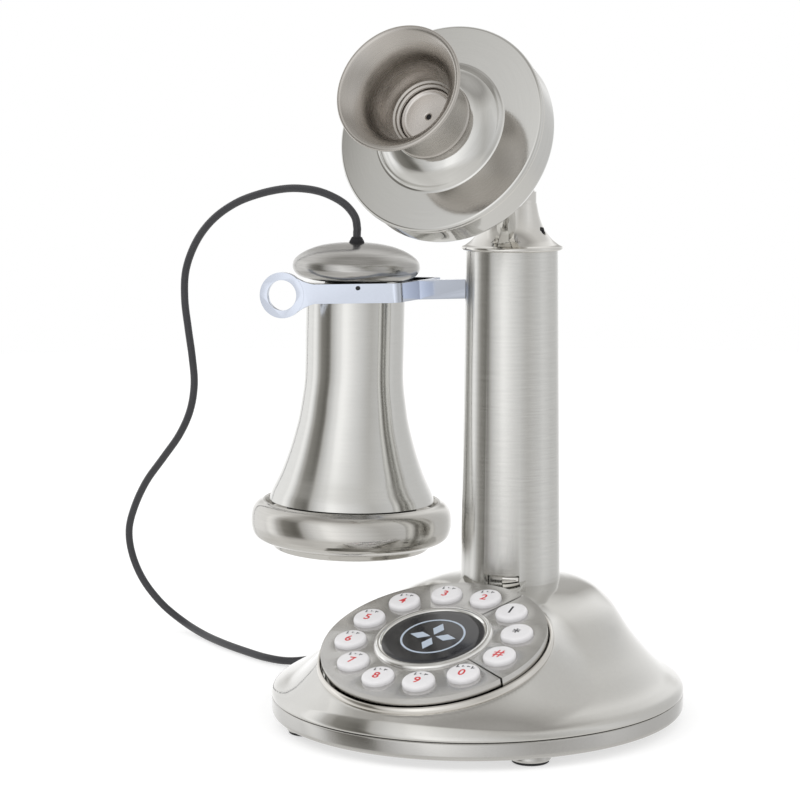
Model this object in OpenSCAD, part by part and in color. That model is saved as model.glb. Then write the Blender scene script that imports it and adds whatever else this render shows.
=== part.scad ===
// Candlestick telephone with a ring of push keys.
// Millimetres, +Z up, front faces -Y, origin on the floor under the middle of the base.

/* [Base] */
// half width of the base, left to right
base_half_x = 83; // [60:1:120]
// half depth of the base, front to back
base_half_y = 89; // [60:1:130]
// wall of the pressed base shell
shell_wall = 2.4; // [1.6:0.2:4]
// height of each round foot
foot_high = 4; // [2:0.5:8]

/* [Column] */
// column radius where it leaves the base
column_r_low = 20.8; // [14:0.1:28]
// column radius at the collar
column_r_top = 19.1; // [12:0.1:26]
// height of the column top above the floor
column_top = 189; // [140:1:260]
// distance of the column behind the middle of the base
column_back = 32; // [10:1:45]

/* [Keys] */
// diameter of each round key
key_d = 13; // [9:0.5:15]
// radius of the circle the keys sit on
key_ring_r = 33.5; // [28:0.5:40]
// forward tilt of the key ring, degrees
dial_tilt = 18.7; // [0:0.1:35]
// radius of the metal key plate
plate_r = 45; // [42:0.5:52]

/* [Transmitter] */
// radius of the round transmitter head
head_r = 42.4; // [30:0.5:55]
// radius of the mouthpiece rim
horn_rim_r = 25.2; // [18:0.2:32]
// how far the mouthpiece stands in front of the face
horn_long = 39; // [25:1:55]
// upward tilt of the head, degrees
head_tilt = 22.5; // [0:0.5:35]

/* [Receiver] */
// distance of the hanging receiver from the column axis
receiver_out = 75.3; // [66:0.1:95]
// radius of the ear cap
ear_r = 43.2; // [32:0.1:46]
// thickness of the cord
cord_d = 3.4; // [2:0.1:5]

/* [Hidden] */
$fn = 64;
lean = 1.4;
eps = 0.02;
cy = column_back;
key_fit = 0.08;
pin_fit = 0.05;
lever_droop = 3.06;
lever_z = 173.2;
fork_flare = 12;
fork_rise = 1.2;
pivot = [0, 18, 217];
face_mid = [0, -37.6, 239.9];
dial_mid = [0, -43, 42.1];
feet_xy = [[48.5, 57.5], [-48.5, 57.5], [48.5, -57.5], [-48.5, -57.5]];
plate_hi = -2.2;
plate_lo = -5.2;
rim_z = 10.8;
cut_a = 330;
cut_b = 420;
cord_route = [
  [-72.2571, 32, 192.4628], [-72.2082, 32, 194.4622], [-72.1594, 32, 196.4616],
  [-73.6, 32.4, 201.3], [-79.5, 33.6, 206.6],
  [-90, 36, 210.6], [-100.5, 38, 212.2], [-112, 40, 212], [-125.6, 42, 209.5],
  [-139.2, 44, 205], [-151.8, 46, 197.6], [-162.3, 49, 187.5], [-169.5, 51.5, 174.5],
  [-171.6, 53.5, 161], [-171.1, 55.5, 147], [-170.4, 57.5, 134], [-171, 60, 121.5],
  [-174.5, 62, 109], [-181.6, 64, 97], [-192, 66, 85], [-202.6, 68, 73],
  [-211.2, 71, 60], [-215.8, 73, 48], [-216, 76, 35.5], [-211.8, 79, 23],
  [-203.2, 81.5, 12], [-191, 81, 4.6], [-174, 71, 2.2], [-156, 59, 2.05],
  [-139, 49.5, 2.05], [-124, 42.5, 2.05], [-111.5, 40.3, 2.3], [-101.5, 43.3, 3.6],
  [-93.5, 48, 6.4], [-87.2, 51.8, 9.4],
  [-82.566, 50.687, 10.9], [-80.8, 49.747, 10.9], [-77.269, 47.867, 10.9]];

// rings of the base hump: height, centre y, half width x, half depth y
function hump() = [
  [rim_z + 0.2, 0, base_half_x, base_half_y], [12.6, 0, base_half_x, base_half_y],
  [14, 0, base_half_x - 0.6, base_half_y - 0.6], [15.2, 0.2, 81.2, 87.2], [16.8, 0.6, 78.6, 84.4],
  [19.5, 2, 74, 79], [24.5, 5, 67.6, 71.5], [29.5, 9, 61.4, 64.8], [34.5, 13, 56, 57.8],
  [39.5, 17, 51.2, 51.6], [43, 20.5, 47.2, 47.2], [46, 24, 42.4, 42.4],
  [48.6, 28, 37, 37], [50.4, 30.6, 31, 31], [51.3, 32, 24, 24]];
function hump_in() = [
  [8.3, 0, base_half_x - 3.2, base_half_y - 3.2], [11.4, 0, base_half_x - 3.2, base_half_y - 3.2],
  [14, 0.8, 77.6, 83.4], [17, 1.8, 73.6, 79], [22.1, 4.6, 66.4, 71.2], [27.1, 9, 58.6, 62],
  [32.1, 13, 51.8, 53.7], [37.1, 17, 46, 46.4], [40.6, 20.5, 41.8, 41.8],
  [43.6, 24, 37.4, 37.4], [46.2, 28, 32.6, 32.6], [48, 30.6, 27.6, 27.6],
  [48.7, 32, 23, 23]];

module ring_loft(rings, seg = 72) {
  n = len(rings);
  pts = [for (r = rings) for (k = [0:seg - 1])
    [r[2] * cos(k * 360 / seg), r[1] + r[3] * sin(k * 360 / seg), r[0]]];
  quads = [for (i = [0:n - 2]) for (k = [0:seg - 1])
    [i * seg + k, (i + 1) * seg + k, (i + 1) * seg + (k + 1) % seg, i * seg + (k + 1) % seg]];
  low = [for (k = [0:seg - 1]) k];
  top = [for (k = [0:seg - 1]) n * seg - 1 - k];
  polyhedron(pts, concat([low], quads, [top]), convexity = 8);
}

module at_dial() {
  translate(dial_mid) rotate([dial_tilt, 0, 0]) children();
}
module at_head() {
  translate(face_mid) rotate([90 - head_tilt, 0, 0]) children();
}
module at_receiver() {
  translate([-receiver_out, cy, 68]) rotate([0, lean, 0]) translate([0, 0, -68]) children();
}
module at_lever() {
  translate([0, cy, lever_z]) rotate([0, -lever_droop, 0]) children();
}
module wedge(a0, a1, r, h) {
  linear_extrude(height = h)
    polygon(concat([[0, 0]], [for (k = [0:12]) let (a = a0 + (a1 - a0) * k / 12)
      [r * cos(a), r * sin(a)]]));
}

// ---------- base ----------
module base_plate() {
  color([0.74, 0.73, 0.70]) difference() {
    ring_loft([[foot_high - 0.4, 0, base_half_x - 1.4, base_half_y - 1.4],
      [foot_high + 0.3, 0, base_half_x - 0.4, base_half_y - 0.4],
      [foot_high + 1.2, 0, base_half_x, base_half_y],
      [rim_z, 0, base_half_x, base_half_y]]);
    ring_loft([[foot_high + 3.9, 0, base_half_x - 3.6, base_half_y - 3.6],
      [rim_z + 1, 0, base_half_x - 3.6, base_half_y - 3.6]]);
    for (p = feet_xy)
      translate([p[0], p[1], 0]) cylinder(r = 1.6, h = 20, $fn = 24);
    for (p = feet_xy)
      translate([p[0], p[1], 0]) cylinder(r = 8.1, h = foot_high, $fn = 40);
    translate([0, cy, 0]) cylinder(r = 2.6, h = 20, $fn = 32);
    for (a = [0:60:300])
      translate([-34 + 6 * cos(a), 6 * sin(a) - 4, 0]) cylinder(r = 1.5, h = 20, $fn = 16);
    translate([-34, -4, 0]) cylinder(r = 1.5, h = 20, $fn = 16);
    translate([-71.88, 45, 10.9]) rotate([0, 90, 151.98])
      translate([0, 0, -8]) cylinder(r = 2.25, h = 22, $fn = 24);
    translate([-7.1, 70, foot_high + 3.9]) cube([14.2, 40, 16]);
  }
}
module feet() {
  color([0.72, 0.71, 0.69]) for (p = feet_xy)
    translate([p[0], p[1], 0]) difference() {
      rotate_extrude($fn = 40)
        polygon([[0, 0], [6.6, 0], [7.6, 0.8], [8, 1.8], [8, 3.2], [7.4, foot_high], [0, foot_high]]);
      translate([0, 0, -1]) cylinder(r = 1.6, h = 8, $fn = 24);
      translate([0, 0, -1]) cylinder(r = 3.3, h = 3.2, $fn = 24);
    }
}
module base_screws() {
  color([0.55, 0.55, 0.56]) for (p = feet_xy)
    translate([p[0], p[1], 0]) difference() {
      union() {
        translate([0, 0, 0.5]) cylinder(r = 3, h = 1.7, $fn = 24);
        translate([0, 0, 1]) cylinder(r = 1.5, h = 12.6, $fn = 24);
      }
      translate([-2, -0.35, 0]) cube([4, 0.7, 1.1]);
      translate([-0.35, -2, 0]) cube([0.7, 4, 1.1]);
    }
}
module pod_body() {
  at_dial() translate([0, 0, -34]) cylinder(r = 47.2, h = 26, $fn = 96);
}
module saddle() {
  at_dial() translate([-14, 47.4, -18]) cube([28, 14.5, 10.2]);
}
module base_shell() {
  color([0.76, 0.75, 0.72]) difference() {
    union() {
      difference() {
        union() {
          ring_loft(hump());
          intersection() {
            union() {
              pod_body();
              saddle();
            }
            translate([-70, -89, 12]) cube([140, 120, 60]);
          }
        }
        ring_loft(hump_in());
        at_dial() translate([0, 0, -34]) cylinder(r = 44.2, h = 40, $fn = 96);
      }
      at_dial() translate([0, 0, -17]) difference() {
        cylinder(r = 45.2, h = 3, $fn = 96);
        translate([0, 0, -1]) cylinder(r = 41.4, h = 6, $fn = 64);
      }
      for (p = feet_xy)
        translate([p[0], p[1], 8.4]) cylinder(r = 4.5, h = p[1] > 0 ? 12.6 : 8.4, $fn = 32);
      translate([0, cy, 36]) cylinder(r = 24, h = 14.6, $fn = 64);
    }
    translate([0, cy, 0]) cylinder(r = column_r_low + 0.15, h = 120, $fn = 64);
    at_dial() translate([0, 0, -14]) cylinder(r = 45.3, h = 24, $fn = 96);
    at_dial() translate([0, 0, -18]) cylinder(r = 41.4, h = 24, $fn = 64);
    at_dial() translate([0, 0, -8]) cylinder(r = 47.4, h = 50, $fn = 96);
    for (p = feet_xy)
      translate([p[0], p[1], 0]) cylinder(r = 1.55, h = 14.4, $fn = 24);
    translate([-71.88, 45, 10.9]) rotate([0, 90, 151.98])
      translate([0, 0, -8]) cylinder(r = 2.25, h = 22, $fn = 24);
    translate([-7.1, 70, 0]) cube([14.2, 40, 16.6]);
    translate([-100, -100, -1]) cube([200, 200, 9.4]);
  }
}
module ballast() {
  color([0.33, 0.33, 0.34]) translate([0, cy, foot_high + 3.9]) difference() {
    cylinder(r = 40, h = 12, $fn = 64);
    translate([0, 0, -1]) cylinder(r = 28, h = 14, $fn = 64);
    for (p = feet_xy)
      translate([p[0], p[1] - cy, -1]) cylinder(r = 6, h = 16, $fn = 24);
    translate([-60, -60, -1]) cube([120, 40, 16]);
  }
}
module sounder() {
  color([0.10, 0.10, 0.11]) translate([-34, -4, foot_high + 3.9]) difference() {
    cylinder(r = 11, h = 7, $fn = 48);
    translate([0, 0, -1]) cylinder(r = 9, h = 4, $fn = 48);
  }
}
module line_socket() {
  color([0.12, 0.12, 0.13]) difference() {
    translate([-7, 74, 8]) cube([14, 12.6, 8.4]);
    translate([-5, 79, 9.4]) cube([10, 10, 5.4]);
    translate([-2.4, 79, 9.4]) cube([4.8, 10, 6.2]);
  }
}

// ---------- key ring ----------
module dial_bezel() {
  color([0.80, 0.79, 0.77]) at_dial() rotate_extrude($fn = 96)
    polygon([[plate_r + 0.5, -8], [plate_r + 2.1, -8], [plate_r + 2.3, -7.2], [plate_r + 2.1, -6.2],
      [plate_r + 1.6, -5.5], [plate_r + 0.9, -5.3], [plate_r + 0.5, -5.8]]);
}
module dial_tray() {
  color([0.07, 0.07, 0.08]) at_dial() difference() {
    union() {
      translate([0, 0, -14]) cylinder(r = 45.2, h = 3.4, $fn = 96);
      translate([0, 0, -11]) cylinder(r = 44, h = 5.8, $fn = 96);
    }
    translate([0, 0, -9.5]) difference() {
      cylinder(r = 42, h = 6, $fn = 72);
      translate([0, 0, -1]) cylinder(r = 21.5, h = 8, $fn = 64);
    }
    translate([0, 0, -20]) cylinder(r = 4, h = 30, $fn = 32);
  }
}
module key_holes(fit) {
  for (k = [0:11])
    rotate([0, 0, 15 + 30 * k]) translate([key_ring_r, 0, -20])
      cylinder(r = key_d / 2 + fit, h = 40, $fn = 40);
}
module dial_plate() {
  color([0.58, 0.55, 0.52]) at_dial() difference() {
    rotate_extrude($fn = 96)
      polygon([[19, plate_lo], [plate_r - 0.4, plate_lo], [plate_r, plate_lo + 0.5],
        [plate_r, plate_hi - 0.8], [plate_r - 0.8, plate_hi], [19, plate_hi]]);
    translate([0, 0, -10]) wedge(cut_a - 0.9, cut_b + 0.9, 80, 20);
    key_holes(key_fit);
  }
}
module side_plate() {
  color([0.66, 0.64, 0.61]) at_dial() difference() {
    intersection() {
      rotate_extrude($fn = 96)
        polygon([[19, plate_lo], [plate_r - 0.7, plate_lo], [plate_r - 0.7, -7.3], [plate_r + 0.2, -7.3],
          [plate_r + 0.2, plate_hi - 0.8], [plate_r - 0.6, plate_hi], [19, plate_hi]]);
      translate([0, 0, -10]) wedge(cut_a + 0.2, cut_b - 0.2, 80, 20);
    }
    key_holes(key_fit);
  }
}
module medallion_ring() {
  color([0.85, 0.85, 0.86]) at_dial() rotate_extrude($fn = 72)
    polygon([[20.6, plate_hi], [23.7, plate_hi], [23.7, -1.7], [23, -1], [21.6, -0.7], [20.6, -1.2]]);
}
module medallion_disc() {
  color([0.04, 0.04, 0.05]) at_dial() translate([0, 0, plate_hi])
    cylinder(r = 20.5, h = 1, $fn = 64);
}
module medallion_motif() {
  color([0.62, 0.66, 0.72]) at_dial() translate([0, 0, plate_hi + 1]) {
    difference() {
      cylinder(r = 13, h = 0.3, $fn = 48);
      translate([0, 0, -1]) cylinder(r = 12, h = 3, $fn = 48);
    }
    for (k = [0:3])
      rotate([0, 0, 90 * k]) linear_extrude(height = 0.3)
        polygon([[1.2, 0], [5.5, 2.4], [9.8, 0], [5.5, -2.4]]);
  }
}
module key_cap(k) {
  color([0.94, 0.94, 0.93]) at_dial() rotate([0, 0, 15 + 30 * k])
    translate([key_ring_r, 0, 0]) rotate_extrude($fn = 40)
      polygon([[0, -7.6], [7.4, -7.6], [7.4, -5.6], [key_d / 2, -5.6], [key_d / 2, -1.1],
        [6.1, -0.45], [5.2, -0.1], [3, 0], [0, 0]]);
}
module key_star() {
  key_cap(0);
}
module key_1() {
  key_cap(1);
}
module key_2() {
  key_cap(2);
}
module key_3() {
  key_cap(3);
}
module key_4() {
  key_cap(4);
}
module key_5() {
  key_cap(5);
}
module key_6() {
  key_cap(6);
}
module key_7() {
  key_cap(7);
}
module key_8() {
  key_cap(8);
}
module key_9() {
  key_cap(9);
}
module key_0() {
  key_cap(10);
}
module key_hash() {
  key_cap(11);
}
module key_mat() {
  color([0.20, 0.20, 0.21]) at_dial() translate([0, 0, -16]) difference() {
    cylinder(r = 41, h = 2, $fn = 72);
    translate([0, 0, -1]) cylinder(r = 6, h = 4, $fn = 32);
  }
}
module circuit_board() {
  color([0.10, 0.30, 0.16]) at_dial() translate([0, 0, -17.7]) union() {
    difference() {
      cylinder(r = 39.4, h = 1.7, $fn = 64);
      translate([0, 0, -1]) cylinder(r = 3, h = 4, $fn = 24);
      translate([-60, -60, -1]) cube([120, 26, 4]);
    }
    translate([-8, 8, -2]) cube([16, 10, 2]);
    translate([14, -4, -4]) cylinder(r = 4, h = 4, $fn = 24);
  }
}

// ---------- column ----------
module column() {
  color([0.74, 0.73, 0.70]) difference() {
    union() {
      translate([0, cy, 8]) cylinder(r = 26, h = 3, $fn = 64);
      translate([0, cy, 8]) cylinder(r = column_r_low, h = 42, $fn = 64);
      translate([0, cy, 50]) cylinder(r1 = column_r_low, r2 = column_r_top, h = column_top - 50, $fn = 64);
    }
    translate([0, cy, 14]) cylinder(r = 16.5, h = 200, $fn = 64);
    translate([0, cy, 0]) cylinder(r = 2.6, h = 30, $fn = 32);
    translate([-2.6, cy - 30, 50]) cube([14.2, 20, 6]);
    translate([-30, cy - 2.7, 163]) cube([20, 5.4, 20]);
    translate([0, cy + 40, lever_z]) rotate([90, 0, 0]) cylinder(r = 2.02, h = 80, $fn = 32);
  }
}
module column_latch() {
  color([0.86, 0.86, 0.86]) intersection() {
    translate([0, cy, 52]) difference() {
      cylinder(r = 19.6, h = 3.2, $fn = 64);
      translate([0, 0, -1]) cylinder(r = 15.4, h = 8, $fn = 64);
    }
    translate([4.6, cy - 30, 50]) cube([6.7, 20, 20]);
  }
}
module tie_rod() {
  color([0.60, 0.60, 0.60]) translate([0, cy, 0]) union() {
    translate([0, 0, 4.6]) cylinder(r = 2.5, h = 138, $fn = 32);
    translate([0, 0, 14]) cylinder(r = 6, h = 3, $fn = 6);
    translate([0, 0, 1]) cylinder(r = 6, h = foot_high - 1.4, $fn = 6);
    translate([0, 0, 2]) cylinder(r = 2.5, h = 4, $fn = 32);
    translate([0, 0, 140]) cylinder(r = 16.2, h = 4, $fn = 48);
  }
}
module collar() {
  color([0.80, 0.79, 0.77]) translate([0, cy, 0]) difference() {
    rotate_extrude($fn = 72)
      polygon([[7.05, 182], [16.4, 182], [16.4, column_top], [20.6, column_top], [21.1, 189.6],
        [21, 190.4], [19.6, 191], [17, 193], [14.9, 195.4], [13.2, 198], [11.9, 201], [11, 204],
        [10.4, 207], [10.2, 208], [7.05, 208]]);
    for (s = [-1, 1])
      translate([s * 6, 0, 196.9]) rotate([0, s * 90, 0]) cylinder(r = 1.7, h = 16, $fn = 24);
  }
}
module set_screws() {
  color([0.06, 0.06, 0.07]) translate([0, cy, 0]) for (s = [-1, 1])
    translate([s * 9.5, 0, 196.9]) rotate([0, s * 90, 0]) difference() {
      cylinder(r = 1.6, h = 4.2, $fn = 24);
      translate([0, 0, 3]) cylinder(r = 0.8, h = 3, $fn = 6);
    }
}
module neck() {
  color([0.77, 0.76, 0.73]) difference() {
    union() {
      translate([0, cy, 184]) cylinder(r = 7, h = 25, $fn = 48);
      translate([0, cy, 208]) cylinder(r = 10, h = 5, $fn = 48);
      hull() {
        translate([0, cy, 210]) cylinder(r = 10, h = 1.5, $fn = 32);
        translate([-9.5, pivot[1], pivot[2]]) rotate([0, 90, 0]) cylinder(r = 8, h = 19, $fn = 32);
      }
    }
    translate([-5.2, pivot[1], pivot[2]]) rotate([0, 90, 0]) cylinder(r = 9, h = 10.4, $fn = 48);
    translate([-5.2, pivot[1] - 20, pivot[2] - 14]) cube([10.4, 20, 30]);
    translate([-20, pivot[1], pivot[2]]) rotate([0, 90, 0])
      cylinder(r = 2.5 + pin_fit, h = 40, $fn = 32);
  }
}
module tilt_screw() {
  color([0.62, 0.62, 0.63]) translate(pivot) rotate([0, 90, 0]) difference() {
    union() {
      translate([0, 0, -12.4]) cylinder(r = 2.5, h = 24.8, $fn = 32);
      translate([0, 0, 10.1]) cylinder(r = 5, h = 3, $fn = 32);
      translate([0, 0, -13.1]) cylinder(r = 4.6, h = 3, $fn = 6);
    }
    translate([-6, -0.6, 12.1]) cube([12, 1.2, 3]);
  }
}
module hook_pin() {
  color([0.58, 0.58, 0.60]) translate([0, cy + 17.9, lever_z]) rotate([90, 0, 0])
    cylinder(r = 2, h = 35.8, $fn = 32);
}
module hook_switch() {
  color([0.10, 0.10, 0.11]) translate([0, cy, 144]) union() {
    translate([-9, -5, 0]) cube([18, 10, 14]);
    translate([6, 0, 13]) cylinder(r = 1.5, h = 12.8, $fn = 24);
  }
}
module fork_arm() {
  translate([-45.1, -19.9, 0]) rotate([0, 0, fork_flare]) rotate([0, fork_rise, 0]) children();
}
module elbow() {
  translate([-45.1, -17.5, -4]) intersection() {
    difference() {
      cylinder(r = 3.6, h = 8, $fn = 48);
      translate([0, 0, -1]) cylinder(r = 1.1, h = 10, $fn = 24);
    }
    translate([0, -5, -1]) cube([5, 5, 10]);
  }
}
module hook_lever() {
  color([0.80, 0.82, 0.86]) at_lever() difference() {
    union() {
      rotate([90, 0, 0]) translate([0, 0, -2]) cylinder(r = 5.2, h = 4, $fn = 40);
      translate([-43, -2, -4]) cube([43, 4, 8]);
      translate([0, -2, -3]) cube([10, 4, 5]);
      translate([-44, -18, -3.9]) cube([2.45, 36, 7.8]);
      elbow();
      mirror([0, 1, 0]) elbow();
      fork_arm() translate([-40, -1.2, -4.05]) cube([40.5, 2.4, 8.1]);
      fork_arm() translate([0, 1.2, 0]) rotate([90, 0, 0]) linear_extrude(height = 2.4)
        polygon([[-43.5, 7.4], [-41, 6.6], [-38.6, 5.4], [-36, 4.5], [-33.5, 4],
          [-33.5, -4], [-36, -4.7], [-38.6, -5.8], [-41, -7.1], [-43.5, -8]]);
      fork_arm() translate([-47.97, 1.35, -0.3]) rotate([90, 0, 0]) cylinder(r = 9.65, h = 2.7, $fn = 48);
      mirror([0, 1, 0]) fork_arm() translate([-49, -1.2, -4.05]) cube([49.5, 2.4, 8.1]);
      mirror([0, 1, 0]) fork_arm() translate([-49, 1.3, 0]) rotate([90, 0, 0])
        cylinder(r = 4.3, h = 2.6, $fn = 32);
    }
    fork_arm() translate([-47.97, 5, -0.3]) rotate([90, 0, 0]) cylinder(r = 6.4, h = 10, $fn = 48);
    rotate([90, 0, 0]) translate([0, 0, -10]) cylinder(r = 2.07, h = 20, $fn = 32);
  }
}
module hook_stud() {
  color([0.12, 0.12, 0.13]) at_lever() fork_arm() translate([-14.7, -1.2, 2.3])
    rotate([90, 0, 0]) cylinder(r = 0.9, h = 0.5, $fn = 20);
}

// ---------- transmitter head ----------
module head_cup() {
  color([0.74, 0.73, 0.70]) difference() {
    union() {
      at_head() rotate_extrude($fn = 96)
        polygon([[42, -2.4], [42, -14], [41.2, -16.4], [38.6, -18.8], [33, -21.6], [25, -24.6],
          [16, -26.8], [10, -27.6], [0, -27.8], [0, -25.4], [10, -25.2], [16, -24.4], [24, -22.3],
          [32, -19.4], [37.4, -16.8], [39.4, -14.6], [40, -13], [40, -2.4]]);
      at_head() translate([0, 0, -29.6]) cylinder(r = 12, h = 3, $fn = 48);
      difference() {
        hull() {
          translate([-5, pivot[1], pivot[2]]) rotate([0, 90, 0]) cylinder(r = 7.6, h = 10, $fn = 32);
          at_head() translate([-5, -9, -29.4]) cube([10, 18, 1]);
        }
      }
    }
    translate([-20, pivot[1], pivot[2]]) rotate([0, 90, 0])
      cylinder(r = 2.5 + pin_fit, h = 40, $fn = 32);
  }
}
module face_plate() {
  color([0.76, 0.75, 0.72]) at_head() difference() {
    rotate_extrude($fn = 96)
      polygon([[11.2, -2.4], [head_r - 0.4, -2.4], [head_r, -1.8], [head_r, -0.7], [head_r - 0.8, 0],
        [26.6, 0], [25.6, 0.8], [24.6, 2.6], [23, 4.6], [20.8, 6.4], [18.4, 7.6], [16.4, 8.2],
        [13.4, 8.2], [11.2, 8.2]]);
  }
}
module mouthpiece() {
  color([0.70, 0.68, 0.65]) at_head() rotate_extrude($fn = 72)
    polygon([[11.2, 8.2], [15.8, 8.2], [15.4, 9.6], [15.1, 12], [15.2, 16], [15.9, 21], [17.3, 26.5],
      [19.4, 31.5], [22, 35.6], [24.2, 37.9], [25.1, 38.3], [25.2, 38.9], [24.8, 39.4], [24, 39.4],
      [22.8, 38.7], [20.6, 36.4], [18, 32.4], [15.8, 27.2], [14.3, 21.6], [13.6, 16.4], [13.4, 13.4],
      [12, 13], [11.2, 12.4]]);
}
module mic_grille() {
  color([0.80, 0.79, 0.76]) at_head() difference() {
    translate([0, 0, 8.2]) cylinder(r = 11.1, h = 2.8, $fn = 48);
    translate([0, 0, 5]) cylinder(r = 1.1, h = 10, $fn = 24);
    for (k = [0:11])
      rotate([0, 0, 30 * k]) translate([6.5, 0, 5]) cylinder(r = 0.5, h = 10, $fn = 12);
  }
}
module mic_capsule() {
  color([0.08, 0.08, 0.09]) at_head() translate([0, 0, -4]) cylinder(r = 11, h = 12.1, $fn = 48);
}

// ---------- receiver ----------
module receiver_dome() {
  color([0.74, 0.73, 0.71]) at_receiver() rotate_extrude($fn = 72)
    polygon([[0, 163.7], [13, 163.7], [13, 172.8], [14, 173.8], [19, 174.3], [23, 175.1],
      [25.2, 176.2], [26.5, 177.5], [27.1, 179.1], [27.1, 180.5], [26.4, 182.6], [24.1, 184.6], [20.6, 186.7],
      [15.9, 188.4], [10.3, 189.5], [5.2, 190], [0, 190]]);
}
module receiver_body() {
  color([0.76, 0.75, 0.72]) at_receiver() rotate_extrude($fn = 72)
    polygon([[0, 163.6], [13.1, 163.6], [13.1, 172.6], [13.6, 173], [20.6, 173], [21.2, 172.4],
      [21.2, 135], [21.6, 128], [22.4, 122], [23.5, 115], [24.9, 109], [27.3, 100.5], [30.3, 92], [32.3, 87.5],
      [34.4, 83], [35.6, 79.2], [32.9, 79.2], [31.5, 83.6], [29.5, 88.2], [27.4, 93],
      [24.6, 101.2], [22.2, 109.4], [20.8, 115.6], [19.6, 122.4], [18.7, 130], [18.5, 136],
      [18.5, 160], [0, 160]]);
}
module ear_cap() {
  color([0.68, 0.66, 0.63]) at_receiver() rotate_extrude($fn = 96)
    polygon([[6, 66.4], [6, 70.4], [30, 72.4], [30, 79.2], [37.7, 79.2], [39.6, 78.2], [41.6, 76.6],
      [42.8, 74.6], [ear_r, 72.4], [ear_r, 68], [42.4, 65.4], [40.6, 63.2], [36.9, 61.2], [34.6, 60.4],
      [33.6, 59], [31.9, 58], [29.5, 58], [27.2, 59.6], [25.3, 62], [21.6, 64], [14.4, 65.6]]);
}
module ear_capsule() {
  color([0.09, 0.09, 0.10]) at_receiver() union() {
    translate([0, 0, 72.6]) cylinder(r = 28, h = 6, $fn = 48);
    translate([0, 0, 78]) cylinder(r = 14, h = 8, $fn = 48);
  }
}
module cord_grommet() {
  color([0.07, 0.07, 0.08]) at_receiver() translate([0, 0, 190]) rotate_extrude($fn = 32)
    polygon([[0, 0], [3.1, 0], [3, 1], [2.4, 2], [2.1, 2.5], [0, 2.5]]);
}

// ---------- cord ----------
function bend(p, q, r, s, t) = 0.5 * ((2 * q) + (r - p) * t + (2 * p - 5 * q + 4 * r - s) * t * t
  + (3 * q - p - 3 * r + s) * t * t * t);
function at(v, i) = v[max(0, min(len(v) - 1, i))];
function fine(v) = [for (i = [0:len(v) - 2]) for (t = [0, 0.5])
  bend(at(v, i - 1), v[i], v[i + 1], at(v, i + 2), t)];
function unit(v) = v / norm(v);
module tube(v, r, seg) {
  n = len(v);
  pts = [for (i = [0:n - 1])
    let (t = unit(at(v, i + 1) - at(v, i - 1)), a = unit(cross(t, [0, 1, 0])), b = cross(t, a))
    for (k = [0:seg - 1]) v[i] + r * (cos(k * 360 / seg) * a + sin(k * 360 / seg) * b)];
  quads = [for (i = [0:n - 2]) for (k = [0:seg - 1])
    [i * seg + k, (i + 1) * seg + k, (i + 1) * seg + (k + 1) % seg, i * seg + (k + 1) % seg]];
  polyhedron(pts, concat([[for (k = [0:seg - 1]) k]], quads,
    [[for (k = [0:seg - 1]) n * seg - 1 - k]]), convexity = 10);
}
module cord() {
  color([0.16, 0.16, 0.17])
    tube(concat(fine(cord_route), [cord_route[len(cord_route) - 1]]), cord_d / 2, 8);
}
module cord_gland() {
  color([0.09, 0.09, 0.10]) translate([-71.88, 45, 10.9]) rotate([0, 90, 151.98]) union() {
    translate([0, 0, -4]) cylinder(r = 2.2, h = 8, $fn = 24);
    translate([0, 0, 0.6]) cylinder(r1 = 2.9, r2 = 2.3, h = 5.4, $fn = 24);
  }
}

base_plate();
feet();
base_screws();
base_shell();
ballast();
sounder();
dial_bezel();
dial_tray();
dial_plate();
side_plate();
medallion_ring();
medallion_disc();
medallion_motif();
key_mat();
circuit_board();
key_1();
key_2();
key_3();
key_4();
key_5();
key_6();
key_7();
key_8();
key_9();
key_0();
key_star();
key_hash();
column();
column_latch();
tie_rod();
collar();
set_screws();
neck();
tilt_screw();
hook_pin();
hook_switch();
hook_lever();
hook_stud();
head_cup();
face_plate();
mouthpiece();
mic_grille();
mic_capsule();
receiver_dome();
receiver_body();
ear_cap();
ear_capsule();
cord_grommet();
cord();
cord_gland();
line_socket();
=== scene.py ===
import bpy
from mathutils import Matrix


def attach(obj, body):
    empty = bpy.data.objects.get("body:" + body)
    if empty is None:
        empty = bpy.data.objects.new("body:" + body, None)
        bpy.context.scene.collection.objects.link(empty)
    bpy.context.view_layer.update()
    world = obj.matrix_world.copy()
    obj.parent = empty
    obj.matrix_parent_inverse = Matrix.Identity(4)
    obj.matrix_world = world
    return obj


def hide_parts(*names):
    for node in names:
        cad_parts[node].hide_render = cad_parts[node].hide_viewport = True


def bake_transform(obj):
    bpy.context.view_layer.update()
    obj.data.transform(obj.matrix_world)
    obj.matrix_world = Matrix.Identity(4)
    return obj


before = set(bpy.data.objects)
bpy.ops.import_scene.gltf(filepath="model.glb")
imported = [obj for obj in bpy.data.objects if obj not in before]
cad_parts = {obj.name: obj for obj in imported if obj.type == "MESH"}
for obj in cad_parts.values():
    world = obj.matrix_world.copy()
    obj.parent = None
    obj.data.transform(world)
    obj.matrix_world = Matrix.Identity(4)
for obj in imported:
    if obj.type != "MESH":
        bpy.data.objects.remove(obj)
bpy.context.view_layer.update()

import math

import bmesh
import bpy
import numpy as np
from mathutils import Matrix, Vector

# A candlestick telephone with push keys: metal, enamel, print and rubber over the frame's own parts.
# Outlines are in millimetres in each part's own frame; frames and everything placed are in metres.
MM = 0.001
UPRIGHT_Y = 32
BASE_X, BASE_Y = 83, 89
KEY_RING_R, KEY_R = 33.5, 6.5
scene = bpy.context.scene

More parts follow.
